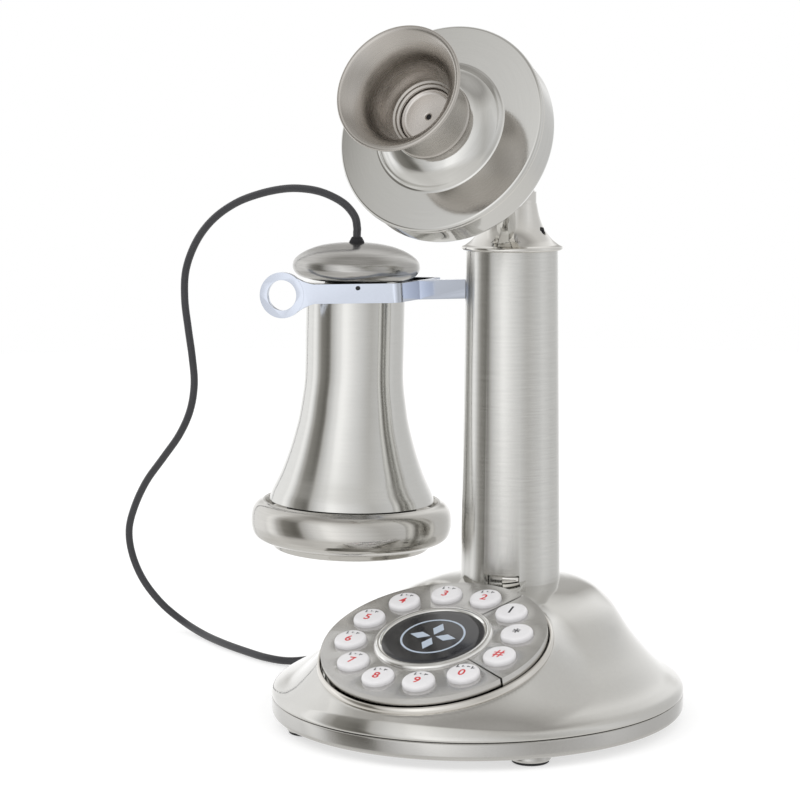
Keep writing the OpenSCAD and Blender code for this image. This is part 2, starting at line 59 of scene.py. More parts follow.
# ---------------------------------------------------------------- camera
cam_data = bpy.data.cameras.new("camera")
cam = bpy.data.objects.new("camera", cam_data)
scene.collection.objects.link(cam)
cam.location = (0.4096, -0.8912, 0.2497)
look = Vector((-0.4437, 0.8879, -0.1213))
cam.rotation_euler = look.to_track_quat("-Z", "Y").to_euler()
cam_data.sensor_width = 36
cam_data.lens = 109.92
cam_data.clip_start = 0.05
cam_data.clip_end = 20
scene.camera = cam
scene.view_settings.view_transform = "Standard"
scene.view_settings.look = "None"
scene.view_settings.exposure = 0
scene.view_settings.gamma = 1


# ---------------------------------------------------------------- frames of the parts
def at(x, y, z):
    """The frame at a point given in millimetres."""
    return Matrix.Translation((x * MM, y * MM, z * MM))


def turned(degrees, axis):
    return Matrix.Rotation(math.radians(degrees), 4, axis)


DIAL_TILT = 18.7
DIAL_Y, DIAL_Z = -43, 42.1
WORLD = Matrix.Identity(4)
COL = at(0, UPRIGHT_Y, 0)
DIAL = at(0, DIAL_Y, DIAL_Z) @ turned(DIAL_TILT, "X")
HEAD = at(0, -37.6, 239.9) @ turned(67.5, "X")
PIVOT = at(0, 18, 217)
LEVER = at(0, UPRIGHT_Y, 173.2) @ turned(-3.06, "Y")
RX = at(-75.3, UPRIGHT_Y, 68) @ turned(1.4, "Y") @ at(0, 0, -68)
GLAND = at(-71.88, 45, 10.9) @ turned(151.98, "Z") @ turned(90, "Y")
FEET = [(48.5, 57.5), (-48.5, 57.5), (48.5, -57.5), (-48.5, -57.5)]


# ---------------------------------------------------------------- mesh helpers
def finish_mesh(name, bm, matrix=WORLD, angle=38):
    """Welds and places a mesh and shades it smooth except at edges sharper than the angle."""
    bmesh.ops.remove_doubles(bm, verts=bm.verts, dist=1e-6)
    bmesh.ops.recalc_face_normals(bm, faces=bm.faces)
    bm.transform(matrix)
    me = bpy.data.meshes.new(name)
    bm.to_mesh(me)
    bm.free()
    for p in me.polygons:
        p.use_smooth = True
    me.set_sharp_from_angle(angle=math.radians(angle))
    ob = bpy.data.objects.new(name, me)
    scene.collection.objects.link(ob)
    return ob


def soften(pts, r=0.35, steps=4):
    """Rounds every corner of a closed outline (mm) but leaves points on the axis sharp."""
    out = []
    n = len(pts)
    for i in range(n):
        p0, p1, p2 = (np.array(pts[(i + k) % n][:2], float) for k in (-1, 0, 1))
        if p1[0] < 1e-6:
            out.append(tuple(p1))
            continue
        rr = pts[i][2] if len(pts[i]) > 2 else r
        a, b = p0 - p1, p2 - p1
        la, lb = np.linalg.norm(a), np.linalg.norm(b)
        if la < 1e-9 or lb < 1e-9:
            continue
        turn = math.degrees(math.acos(max(-1, min(1, float(-(a @ b) / la / lb)))))
        d = min(rr, 0.42 * la, 0.42 * lb)
        if turn < 4 or d < 1e-4:
            out.append(tuple(p1))
            continue
        q0, q2 = p1 + a / la * d, p1 + b / lb * d
        for k in range(steps + 1):
            t = k / steps
            out.append(tuple((1 - t) ** 2 * q0 + 2 * t * (1 - t) * p1 + t * t * q2))
    return out


def spline(pts, per):
    """A smooth line through every point given, with as many steps as asked from one to the next."""
    p = [np.array(q, float) for q in pts]
    out = []
    for i in range(len(p) - 1):
        a, b, c, d = p[max(i - 1, 0)], p[i], p[i + 1], p[min(i + 2, len(p) - 1)]
        square, cube = 2 * a - 5 * b + 4 * c - d, 3 * b - a - 3 * c + d
        for t in (k / per for k in range(per)):
            out.append(0.5 * (2 * b + (c - a) * t + square * t * t + cube * t ** 3))
    out.append(p[-1])
    return out


def smooth_run(pts, per=5):
    return [tuple(q) for q in spline(pts, per)]


def skin_rings(bm, rings):
    """Faces between rings of equally many points."""
    n = len(rings[0])
    for low, high in zip(rings, rings[1:]):
        for k in range(n):
            bm.faces.new([low[k], high[k], high[(k + 1) % n], low[(k + 1) % n]])


def lathe(name, outline, matrix=WORLD, seg=144, r=0.35, start=0.0, stop=360.0, angle=38):
    """Closed outline of (radius, height) in mm turned about the frame's own axis."""
    pts = soften(outline, r) if r else [tuple(p[:2]) for p in outline]
    bm = bmesh.new()
    full = stop - start >= 360
    count = seg if full else seg + 1
    rings = []
    for k in range(count):
        a = math.radians(start + (stop - start) * k / seg)
        ca, sa = math.cos(a) * MM, math.sin(a) * MM
        rings.append([bm.verts.new((r * ca, r * sa, z * MM)) for r, z in pts])
    n = len(pts)
    for k in range(seg):
        r0, r1 = rings[k], rings[(k + 1) % count]
        for i in range(n):
            j = (i + 1) % n
            if pts[i][0] < 1e-6 and pts[j][0] < 1e-6:
                continue
            quad = [r0[i], r0[j], r1[j], r1[i]]
            if pts[i][0] < 1e-6:
                quad = [r0[i], r0[j], r1[j]]
            elif pts[j][0] < 1e-6:
                quad = [r0[i], r0[j], r1[i]]
            try:
                bm.faces.new(quad)
            except ValueError:
                pass
    if not full:
        bm.faces.new(rings[0])
        bm.faces.new(rings[-1])
    return finish_mesh(name, bm, matrix, angle)


def prism(name, outline, z0, z1, matrix=WORLD):
    """Flat outline (mm) given thickness along the frame's own axis."""
    bm = bmesh.new()
    low = [bm.verts.new((x * MM, y * MM, z0 * MM)) for x, y in outline]
    top = [bm.verts.new((x * MM, y * MM, z1 * MM)) for x, y in outline]
    bm.faces.new(low[::-1])
    bm.faces.new(top)
    n = len(outline)
    for i in range(n):
        bm.faces.new([low[i], low[(i + 1) % n], top[(i + 1) % n], top[i]])
    return finish_mesh(name, bm, matrix)


def oval(rx, ry, n):
    return [(rx * math.cos(2 * math.pi * k / n), ry * math.sin(2 * math.pi * k / n)) for k in range(n)]


def disc(r, n=48):
    return oval(r, r, n)


def box(x0, y0, x1, y1):
    return [(x0, y0), (x1, y0), (x1, y1), (x0, y1)]


def discard(ob):
    me = ob.data
    bpy.data.objects.remove(ob)
    bpy.data.meshes.remove(me)


def apply_all(ob):
    """Turns a piece's modifiers into plain mesh."""
    dg = bpy.context.evaluated_depsgraph_get()
    me = bpy.data.meshes.new_from_object(ob.evaluated_get(dg))
    old = ob.data
    ob.modifiers.clear()
    ob.data = me
    me.name = ob.name
    bpy.data.meshes.remove(old)
    return ob


def carve(ob, tools):
    """Cuts the tools out of a piece and clears them away."""
    for t in tools:
        m = ob.modifiers.new("cut", "BOOLEAN")
        m.operation = "DIFFERENCE"
        m.solver = "EXACT"
        m.object = t
    bpy.context.view_layer.update()
    apply_all(ob)
    for t in tools:
        discard(t)
    return ob


def edge_round(ob, width=0.3, segments=3, angle=32):
    """Rounds the hard edges so that they catch a line of light."""
    m = ob.modifiers.new("round", "BEVEL")
    m.width = width * MM
    m.segments = segments
    m.limit_method = "ANGLE"
    m.angle_limit = math.radians(angle)
    m.harden_normals = False
    m.use_clamp_overlap = True
    apply_all(ob)
    for p in ob.data.polygons:
        p.use_smooth = True
    ob.data.set_sharp_from_angle(angle=math.radians(50))
    return ob


def join(name, obs):
    """One piece out of several."""
    bm = bmesh.new()
    for o in obs:
        bm.from_mesh(o.data)
    me = bpy.data.meshes.new(name)
    bm.to_mesh(me)
    bm.free()
    for o in obs:
        discard(o)
    ob = bpy.data.objects.new(name, me)
    scene.collection.objects.link(ob)
    for p in me.polygons:
        p.use_smooth = True
    me.set_sharp_from_angle(angle=math.radians(38))
    return ob


def refined(name, cad_node, width=0.3, segments=3):
    """A copy of a CAD node with its flat faces merged and its edges rounded."""
    bm = bmesh.new()
    bm.from_mesh(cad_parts[cad_node].data)
    bmesh.ops.remove_doubles(bm, verts=bm.verts, dist=1e-6)
    bmesh.ops.dissolve_limit(bm, angle_limit=math.radians(1.0), verts=bm.verts, edges=bm.edges)
    ob = finish_mesh(name, bm)
    return edge_round(ob, width, segments)


# ---------------------------------------------------------------- materials
def new_material(name):
    m = bpy.data.materials.new(name)
    m.use_nodes = True
    m.node_tree.nodes.clear()
    return m, m.node_tree


def node(tree, kind, **inputs):
    """A new shader node with values on its inputs, an underscore in a name standing for a space."""
    n = tree.nodes.new(kind)
    for k, v in inputs.items():
        n.inputs[k.replace("_", " ")].default_value = v
    return n


def math_node(tree, op, a, b=None):
    n = tree.nodes.new("ShaderNodeMath")
    n.operation = op
    for i, v in enumerate((a, b)):
        if v is None:
            continue
        if isinstance(v, (int, float)):
            n.inputs[i].default_value = v
        else:
            tree.links.new(v, n.inputs[i])
    return n.outputs[0]


def ramp_node(tree, fac, stops):
    """A colour for each value of fac; a stop's colour is (r, g, b) or one number for a grey."""
    r = tree.nodes.new("ShaderNodeValToRGB")
    cr = r.color_ramp
    while len(cr.elements) < len(stops):
        cr.elements.new(0.5)
    for e, (pos, col) in zip(cr.elements, stops):
        e.position = pos
        e.color = (*col, 1) if isinstance(col, tuple) or isinstance(col, list) else (col, col, col, 1)
    tree.links.new(fac, r.inputs[0])
    return r.outputs[0]


def shader(tree, **inputs):
    b = node(tree, "ShaderNodeBsdfPrincipled", **inputs)
    out = tree.nodes.new("ShaderNodeOutputMaterial")
    tree.links.new(b.outputs[0], out.inputs[0])
    return b


def fit_range(tree, value, source, target):
    """Carries one range of a value over to another."""
    r = node(tree, "ShaderNodeMapRange", From_Min=source[0], From_Max=source[1], To_Min=target[0],
             To_Max=target[1])
    tree.links.new(value, r.inputs["Value"])
    return r.outputs[0]


def add_bump(tree, height, strength, distance, target):
    bp = node(tree, "ShaderNodeBump", Strength=strength, Distance=distance)
    tree.links.new(height, bp.inputs["Height"])
    tree.links.new(bp.outputs[0], target.inputs["Normal"])


def blended(tree, a, b, share):
    """share of a plus the rest of b."""
    part_a, part_b = math_node(tree, "MULTIPLY", a, share), math_node(tree, "MULTIPLY", b, 1 - share)
    return math_node(tree, "ADD", part_a, part_b)


def local_coords(tree, matrix):
    tc = tree.nodes.new("ShaderNodeTexCoord")
    mp = tree.nodes.new("ShaderNodeMapping")
    inv = matrix.inverted()
    mp.inputs["Location"].default_value = inv.to_translation()
    mp.inputs["Rotation"].default_value = inv.to_euler("XYZ")
    tree.links.new(tc.outputs["Object"], mp.inputs["Vector"])
    return mp.outputs[0]


NICKEL_TINT = (1.0, 0.995, 0.98)


def metal(name, color, rough, matrix, mode="turned", streak=0.05, rough_var=0.10,
          bump=0.02, density=1500, tint=NICKEL_TINT, aniso=0.0):
    """Brushed metal: lines round the axis (turned) or along x (flat), or even grain (soft), and smudges."""
    m, t = new_material(name)
    b = shader(t, Metallic=1.0)
    if aniso:
        lines = t.nodes.new("ShaderNodeTangent")
        lines.direction_type = "RADIAL"
        lines.axis = "Z"
        t.links.new(lines.outputs[0], b.inputs["Tangent"])
        b.inputs["Anisotropic"].default_value = aniso
        b.inputs["Anisotropic Rotation"].default_value = 0.25
    co = local_coords(t, matrix)
    sep = t.nodes.new("ShaderNodeSeparateXYZ")
    t.links.new(co, sep.inputs[0])
    x, y, z = sep.outputs
    if mode == "turned":
        square = math_node(t, "ADD", math_node(t, "MULTIPLY", x, x), math_node(t, "MULTIPLY", y, y))
        angle = math_node(t, "ARCTAN2", y, x)
        u, v, w = math_node(t, "SQRT", square), z, math_node(t, "MULTIPLY", angle, 0.0012)
    elif mode == "flat":
        u, v, w = math_node(t, "MULTIPLY", x, 0.02), y, z
    else:
        u, v, w = x, y, z
    comb = t.nodes.new("ShaderNodeCombineXYZ")
    for i, s in enumerate((u, v, w)):
        t.links.new(math_node(t, "MULTIPLY", s, density), comb.inputs[i])
    fine = node(t, "ShaderNodeTexNoise", Scale=1.0, Detail=4.0, Roughness=0.65)
    t.links.new(comb.outputs[0], fine.inputs["Vector"])
    smudge = node(t, "ShaderNodeTexNoise", Scale=38.0, Detail=5.0)
    t.links.new(co, smudge.inputs["Vector"])
    wear = blended(t, fine.outputs[0], smudge.outputs[0], 0.75)
    low = [c * k * (1 - streak) for c, k in zip(color, tint)]
    high = [min(1.0, c * k * (1 + streak)) for c, k in zip(color, tint)]
    t.links.new(ramp_node(t, wear, [(0.3, low), (0.7, high)]), b.inputs["Base Color"])
    half = rough_var * 0.5
    worn = fit_range(t, wear, (0.3, 0.7), (max(0.03, rough - half), rough + half))
    t.links.new(worn, b.inputs["Roughness"])
    add_bump(t, fine.outputs[0], bump, 0.0004, b)
    return m


def plastic(name, color, rough, var, bump, scale, coat=0.0, spec=0.5):
    """Plastic, rubber, enamel or print: a fine grain, faint clouds of colour and an uneven gloss."""
    m, t = new_material(name)
    b = shader(t, Metallic=0.0, Coat_Weight=coat, Coat_Roughness=0.06, Specular_IOR_Level=spec)
    co = local_coords(t, WORLD)
    fine = node(t, "ShaderNodeTexNoise", Scale=scale, Detail=3.0)
    t.links.new(co, fine.inputs["Vector"])
    smudge = node(t, "ShaderNodeTexNoise", Scale=60.0)
    t.links.new(co, smudge.inputs["Vector"])
    wear = blended(t, fine.outputs[0], smudge.outputs[0], 0.5)
    low = [c * (1 - var) for c in color]
    high = [min(1, c * (1 + var)) for c in color]
    t.links.new(ramp_node(t, wear, [(0.35, low), (0.65, high)]), b.inputs["Base Color"])
    worn = fit_range(t, wear, (0.35, 0.65), (max(0.02, rough - 0.04), rough + 0.05))
    t.links.new(worn, b.inputs["Roughness"])
    add_bump(t, fine.outputs[0], bump, 0.0003, b)
    return m


NICKEL = (0.72, 0.72, 0.71)
M = {
    "column": metal("nickel_column", NICKEL, 0.22, COL, streak=0.06, rough_var=0.06, bump=0.010,
                    aniso=0.95),
    "receiver": metal("nickel_receiver", NICKEL, 0.15, RX, streak=0.03, rough_var=0.05, bump=0.008,
                      density=1800, aniso=0.85),
    "dome": metal("nickel_dome", (0.52, 0.515, 0.505), 0.22, RX, streak=0.14, rough_var=0.08, bump=0.05,
                  density=1100),
    "head": metal("nickel_head", NICKEL, 0.09, HEAD, streak=0.03, rough_var=0.05, bump=0.012, density=1800),
    "horn": metal("nickel_horn", (0.57, 0.545, 0.52), 0.27, HEAD, streak=0.03, rough_var=0.06, bump=0.004,
                  density=900),
    "grille": metal("nickel_grille", (0.72, 0.69, 0.67), 0.26, HEAD, streak=0.04, bump=0.02, density=1300),
    "base": metal("nickel_base", (0.68, 0.675, 0.66), 0.10, WORLD, "soft", streak=0.02, rough_var=0.05,
                  bump=0.004, density=700),
    "band": metal("nickel_band", (0.58, 0.575, 0.565), 0.16, WORLD, "soft", streak=0.04, bump=0.02),
    "cap": metal("nickel_cap", (0.64, 0.63, 0.61), 0.13, RX, streak=0.05, rough_var=0.06, bump=0.02),
    "dial": metal("nickel_dial", (0.66, 0.655, 0.65), 0.22, DIAL, "flat", streak=0.05, bump=0.02,
                  density=1800),
    "bright": metal("nickel_bright", (0.78, 0.77, 0.75), 0.07, COL, streak=0.02, rough_var=0.04, bump=0.006,
                    density=1200),
    "bezel": metal("nickel_bezel", (0.78, 0.76, 0.73), 0.10, DIAL, streak=0.03, rough_var=0.05, bump=0.01,
                   density=1200),
    "shade": metal("dark_tray", (0.20, 0.18, 0.15), 0.14, DIAL, streak=0.10, bump=0.02, density=900),
    "medal": metal("chrome_medallion", (0.93, 0.93, 0.93), 0.07, DIAL, streak=0.02, rough_var=0.04,
                   bump=0.004, density=1200),
    "hook": metal("chrome_hook", (0.66, 0.69, 0.755), 0.13, LEVER, "soft", streak=0.02, rough_var=0.04,
                  bump=0.004, density=900, tint=(0.98, 1.0, 1.04)),
    "steel": metal("plain_steel", (0.52, 0.52, 0.53), 0.32, WORLD, "soft", streak=0.06, bump=0.03),
    "iron": metal("cast_iron", (0.20, 0.20, 0.21), 0.6, WORLD, "soft", streak=0.15, bump=0.2, density=900),
    "key": plastic("key_white", (0.70, 0.69, 0.70), 0.22, 0.012, 0.01, 700, coat=0.25),
    "enamel": plastic("black_enamel", (0.006, 0.006, 0.008), 0.10, 0.2, 0.004, 300, coat=0.6),
    "black": plastic("black_plastic", (0.02, 0.02, 0.022), 0.45, 0.15, 0.08, 1400),
    "rubber": plastic("black_rubber", (0.018, 0.018, 0.02), 0.62, 0.2, 0.12, 1600, spec=0.3),
    "cord": plastic("cord_skin", (0.040, 0.040, 0.044), 0.42, 0.12, 0.10, 1500, spec=0.4),
    "board": plastic("green_board", (0.03, 0.16, 0.06), 0.4, 0.2, 0.05, 500),
    "red": plastic("print_red", (0.55, 0.03, 0.035), 0.4, 0.06, 0.0, 900),
    "ink": plastic("print_black", (0.03, 0.03, 0.035), 0.4, 0.1, 0.0, 900),
    "print": plastic("print_pale", (0.42, 0.48, 0.56), 0.35, 0.05, 0.02, 900),
}


def dress(ob, body, material, slot, *nodes):
    """Gives a piece its material, the body it rides on and the CAD nodes it stands for; the slot is not
    used.
    """
    ob.data.materials.clear()
    ob.data.materials.append(M[material])
    if nodes:
        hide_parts(*nodes)
    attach(ob, body)


def keep(cad_node, material):
    """Shows a CAD node as it is, in a material of its own."""
    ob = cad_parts[cad_node]
    ob.data.materials.clear()
    ob.data.materials.append(M[material])


# ---------------------------------------------------------------- cord
ROUTE = [(-72.257, 32, 192.463), (-72.208, 32, 194.462), (-72.159, 32, 196.462), (-73.6, 32.4, 201.3),
         (-79.5, 33.6, 206.6), (-90, 36, 210.6), (-100.5, 38, 212.2), (-112, 40, 212),
         (-125.6, 42, 209.5), (-139.2, 44, 205), (-151.8, 46, 197.6), (-162.3, 49, 187.5),
         (-169.5, 51.5, 174.5), (-171.6, 53.5, 161), (-171.1, 55.5, 147), (-170.4, 57.5, 134),
         (-171, 60, 121.5), (-174.5, 62, 109), (-181.6, 64, 97), (-192, 66, 85), (-202.6, 68, 73),
         (-211.2, 71, 60), (-215.8, 73, 48), (-216, 76, 35.5), (-211.8, 79, 23), (-203.2, 81.5, 12),
         (-191, 81, 4.6), (-174, 71, 2.2), (-156, 59, 2.05), (-139, 49.5, 2.05), (-124, 42.5, 2.05),
         (-111.5, 40.3, 2.3), (-101.5, 43.3, 3.6), (-93.5, 48, 6.4), (-87.2, 51.8, 9.4),
         (-82.566, 50.687, 10.9), (-80.8, 49.747, 10.9), (-77.269, 47.867, 10.9)]
CORD_R = 1.7


def tube(name, line, radius, sides=14):
    bm = bmesh.new()
    rings = []
    n = len(line)
    for i, p in enumerate(line):
        t = line[min(i + 1, n - 1)] - line[max(i - 1, 0)]
        t = t / np.linalg.norm(t)
        a = np.cross(t, (0, 1, 0))
        a = a / np.linalg.norm(a)
        b = np.cross(t, a)
        rings.append([bm.verts.new(Vector((p + radius * (math.cos(w) * a + math.sin(w) * b)) * MM))
                      for w in (2 * math.pi * k / sides for k in range(sides))])
    skin_rings(bm, rings)
    bm.faces.new(rings[0])
    bm.faces.new(rings[-1])
    return finish_mesh(name, bm, angle=60)


cord_line = spline(ROUTE, 6)
cord = tube("receiver_cord", cord_line, CORD_R)
cord.data.materials.append(M["cord"])
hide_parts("cord")
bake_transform(cord)


# ---------------------------------------------------------------- studio
def colour_mix(tree, share, a, b):
    """Colour a passing into b; b may be a plain colour."""
    mix = tree.nodes.new("ShaderNodeMix")
    mix.data_type = "RGBA"
    tree.links.new(share, mix.inputs[0])
    tree.links.new(a, mix.inputs[6])
    if isinstance(b, tuple):
        mix.inputs[7].default_value = (*b, 1)
    else:
        tree.links.new(b, mix.inputs[7])
    return mix.outputs[2]


def studio_floor():
    floor = prism("studio_floor", disc(1500, 96), -4, -0.02)
    m, t = new_material("studio_floor")
    b = shader(t, Metallic=0.0, Roughness=0.7, Emission_Color=(1, 1, 1, 1), Emission_Strength=0.55,
               Specular_IOR_Level=0.1)
    cloud = node(t, "ShaderNodeTexNoise", Scale=3.0)
    t.links.new(ramp_node(t, cloud.outputs[0], [(0, 0.50), (1, 0.52)]), b.inputs["Base Color"])
    floor.data.materials.append(m)
    floor.visible_glossy = False


# soft cards and dark gaps that the metal mirrors: direction round the object in degrees, brightness
CARDS = [(-180, 0.66), (-172, 0.82), (-166, 0.76), (-160, 0.58), (-156, 0.40), (-151, 0.32), (-147, 0.19),
         (-138, 0.15), (-129, 0.10), (-124, 0.14), (-120, 0.38), (-113, 0.49), (-104, 0.65), (-97, 0.71),
         (-92, 0.84), (-84, 0.87), (-74, 0.77), (-62, 0.65), (-50, 0.56), (-34, 0.44), (-26, 0.40),
         (-14, 0.44), (4, 0.50), (14, 0.57), (26, 0.54), (42, 0.48), (66, 0.47), (80, 0.51), (100, 0.78),
         (118, 0.84), (150, 0.68), (168, 0.72)]
CARD_GAIN = 1.42
# the same from straight down (0) to straight up (1)
LEVELS = [(0.0, (0.80, 0.79, 0.77)), (0.30, (0.72, 0.71, 0.69)), (0.40, (0.62, 0.61, 0.60)),
          (0.70, (0.78, 0.77, 0.75)), (0.80, (0.72, 0.71, 0.69)), (0.87, (0.70, 0.69, 0.67)),
          (0.92, (0.54, 0.53, 0.51)), (0.96, (0.38, 0.37, 0.355)), (1.0, (0.50, 0.49, 0.475))]
# how far the levels take over from the cards
LEVEL_SHARE = [(0.26, 0.9), (0.40, 0), (0.70, 0.05), (0.86, 0.55), (0.95, 0.95)]
# a dark card behind the stand, seen in the base and the dial only
DARK_ROUND = [(0.755, 0), (0.785, 1), (0.85, 1), (0.88, 0)]
DARK_UP = [(0.54, 0), (0.60, 1), (0.74, 1), (0.86, 0)]


def warm(v):
    """A shade of the studio: the darker it is, the browner."""
    d = max(0.0, 1 - v / 0.5)
    return (v * CARD_GAIN, v * CARD_GAIN * (1 - 0.05 * d), v * CARD_GAIN * (1 - 0.17 * d))


def studio_world():
    """White for all light but mirrored light, which sees the cards."""
    world = bpy.data.worlds.new("studio")
    scene.world = world
    world.use_nodes = True
    t = world.node_tree
    t.nodes.clear()
    direction = t.nodes.new("ShaderNodeTexCoord")
    parts = t.nodes.new("ShaderNodeSeparateXYZ")
    t.links.new(direction.outputs["Generated"], parts.inputs[0])
    x, y, z = parts.outputs
    way_round = math_node(t, "ADD", math_node(t, "DIVIDE", math_node(t, "ARCTAN2", y, x), 2 * math.pi), 0.5)
    leaning = math_node(t, "ADD", way_round, math_node(t, "MULTIPLY", z, 0.04))
    height = math_node(t, "ADD", math_node(t, "MULTIPLY", z, 0.5), 0.5)
    cards = ramp_node(t, leaning, [((a + 180) / 360, warm(v)) for a, v in CARDS])
    levels = ramp_node(t, height, LEVELS)
    seen = colour_mix(t, ramp_node(t, height, LEVEL_SHARE), cards, levels)
    dark = math_node(t, "MULTIPLY", ramp_node(t, way_round, DARK_ROUND), ramp_node(t, height, DARK_UP))
    seen = colour_mix(t, math_node(t, "MULTIPLY", dark, 0.8), seen, (0.36, 0.35, 0.33))
    mirrored = t.nodes.new("ShaderNodeBackground")
    t.links.new(seen, mirrored.inputs[0])
    plain = node(t, "ShaderNodeBackground", Color=(1, 1, 1, 1), Strength=1.0)
    ray = t.nodes.new("ShaderNodeLightPath")
    choice = t.nodes.new("ShaderNodeMixShader")
    t.links.new(ray.outputs["Is Glossy Ray"], choice.inputs[0])
    t.links.new(plain.outputs[0], choice.inputs[1])
    t.links.new(mirrored.outputs[0], choice.inputs[2])
    out = t.nodes.new("ShaderNodeOutputWorld")
    t.links.new(choice.outputs[0], out.inputs[0])


def lamp(name, location, size, watts):
    d = bpy.data.lights.new(name, "AREA")
    d.shape = "RECTANGLE"
    d.size = d.size_y = size
    d.energy = watts
    ob = bpy.data.objects.new(name, d)
    ob.location = location
    ob.rotation_euler = (Vector((0, 0, 0.12)) - Vector(location)).to_track_quat("-Z", "Y").to_euler()
    ob.visible_glossy = False
    scene.collection.objects.link(ob)


studio_floor()
studio_world()
lamp("key_light", (-0.7, -1.1, 1.2), 0.9, 6.0)
lamp("fill_light", (1.3, -0.5, 0.9), 0.8, 3.0)

# ---------------------------------------------------------------- base
# rings of the hump: height, centre y, half width, half depth
HUMP = spline([(11.0, 0, 82.95, 88.95), (11.6, 0, 83, 89), (12.6, 0, 82.95, 88.95), (13.9, 0, 82.4, 88.4),
               (15.1, 0.2, 81.2, 87.1), (16.7, 0.6, 78.6, 84.3), (19.4, 2, 74.0, 78.9),
               (24.4, 5, 67.6, 71.4), (29.4, 9, 61.4, 64.7), (34.4, 13, 56.0, 57.7),
               (39.4, 17, 51.2, 51.5), (43, 20.5, 47.1, 47.1), (46, 24, 42.3, 42.3),
               (48.6, 28, 36.9, 36.9), (50.4, 30.6, 30.9, 30.9), (51.2, 32, 24, 24),
               (51.5, 32, 19.5, 19.5)], 10)
HUMP_Z, HUMP_Y, HUMP_RX, HUMP_RY = np.array(HUMP).T
RIM_RINGS = 5
# the round seat of the key ring: level of its lip, radii of its pocket, crest, edge and bezel groove
SEAT_Z = -7.9
POCKET_R, CREST_R, LIP_IN, LIP_OUT = 45.4, 47.0, 47.6, 48.9
POCKET_DEEP = 1.6
SEAT_BLEND = 7.0
# the turned-in edge below the hump: height, inset
RIM_EDGE = [(13.75, 0.55), (13.3, 0.3), (12.7, 0.1), (12.1, 0), (11.5, 0), (11.2, 0.12), (11.05, 0.45),
            (11.0, 2.5)]


def hump_height(x, y):
    """Height of the bell-like hump over the plan point, by finding the ring that passes through it."""
    reach = (x / HUMP_RX) ** 2 + ((y - HUMP_Y) / HUMP_RY) ** 2
    outside = [k for k in np.nonzero(reach > 1)[0] if k > RIM_RINGS]
    if not outside:
        return HUMP_Z[-1]
    k = outside[0]
    f0, f1 = reach[k - 1], reach[k]
    t = (1 - f0) / (f1 - f0) if f1 != f0 else 0
    t = min(max(t, 0), 1)
    return HUMP_Z[k - 1] * (1 - t) + HUMP_Z[k] * t


def dial_polar(x, y, w):
    """Height of the dial plane at level w over the plan point, and the radius in that plane."""
    c, s = math.cos(math.radians(DIAL_TILT)), math.sin(math.radians(DIAL_TILT))
    v = (y - DIAL_Y + w * s) / c
    return DIAL_Z + v * s + w * c, math.hypot(x, v)


def smooth_max(a, b, k):
    h = max(k - abs(a - b), 0) / k
    return max(a, b) + h * h * k * 0.25


def base_height(x, y):
    """The hump, melted into a round seat that the key ring sits in."""
    z_seat, r = dial_polar(x, y, SEAT_Z)
    if r < POCKET_R:
        return z_seat - POCKET_DEEP
    drop = max(r - CREST_R, 0)
    z = smooth_max(hump_height(x, y), z_seat - drop * 1.15 - 0.012 * drop ** 2, SEAT_BLEND)
    if r < LIP_IN:
        return min(z, z_seat)
    if r < LIP_OUT:
        return min(z, z_seat + (r - LIP_IN) * 9)
    return z


def base_shell(around=300, across=150):
    bm = bmesh.new()
    top = bm.verts.new((0, 0, base_height(0, 0) * MM))
    rings = []
    for j in range(1, across + 1):
        share = 0.985 * (j / across) ** 0.9
        plan = oval(BASE_X * share, BASE_Y * share, around)
        rings.append([bm.verts.new((x * MM, y * MM, base_height(x, y) * MM)) for x, y in plan])
    for z, inset in RIM_EDGE:
        plan = oval(BASE_X - inset, BASE_Y - inset, around)
        rings.append([bm.verts.new((x * MM, y * MM, z * MM)) for x, y in plan])
    for k in range(around):
        bm.faces.new([top, rings[0][k], rings[0][(k + 1) % around]])
    skin_rings(bm, rings)
    bm.faces.new(rings[-1])
    return finish_mesh("base_shell_skin", bm, angle=48)


def oval_ring(name, outline, seg=240):
    """Closed outline of (inset from the base outline, height) in mm carried round the oval."""
    bm = bmesh.new()
    rings = [[bm.verts.new((x * MM, y * MM, z * MM)) for x, y in oval(BASE_X - inset, BASE_Y - inset, seg)]
             for inset, z in soften(outline, 0.3)]
    skin_rings(bm, rings + rings[:1])
    return finish_mesh(name, bm)


dress(base_shell(), "stand", "base", "nickel", "base_shell")
saddle = prism("base_saddle", box(-14, 47.5, 14, 61.9), -18, -7.85, DIAL)
carve(saddle, [prism("cut", disc(20.85, 96), 0, 120, COL)])
dress(edge_round(saddle, 0.6, 3), "stand", "base", "nickel", "base_shell")
rim = oval_ring("base_rim_band", [(3.2, 10.8), (0.5, 10.8, 0.3), (0.03, 10.3, 0.3), (0.03, 5.6),
                                  (0.25, 4.7), (0.8, 4.05), (1.7, 3.65), (5, 3.65), (5, 7.9), (3.2, 7.9)])
dress(rim, "stand", "band", "nickel", "base_plate")
under = prism("base_underside", oval(BASE_X - 3.2, BASE_Y - 3.2, 180), 4.1, 7.4)
dress(under, "stand", "steel", "nickel", "base_plate")
seam = oval_ring("base_seam", [(0.9, 10.5), (0.9, 11.3), (3, 11.3), (3, 10.5)])
dress(seam, "stand", "black", "black_plastic")

for number, (x, y) in enumerate(FEET, 1):
    foot = lathe("foot_%d" % number, [(3.4, 1.0), (7.3, 1.0), (8, 1.7), (8, 3.3), (7.3, 4.2), (3.4, 4.2)],
                 at(x, y, 0), 64, 0.4)
    dress(foot, "stand", "band", "nickel", "feet")
    pad = lathe("foot_pad_%d" % number, [(3.3, 0), (6.6, 0), (7.2, 0.4), (7.2, 1.05), (3.3, 1.05)],
                at(x, y, 0), 64, 0.2)
    dress(pad, "stand", "rubber", "rubber")
keep("base_screws", "steel")
keep("ballast", "iron")
keep("sounder", "black")
keep("tie_rod", "steel")
keep("line_socket", "black")

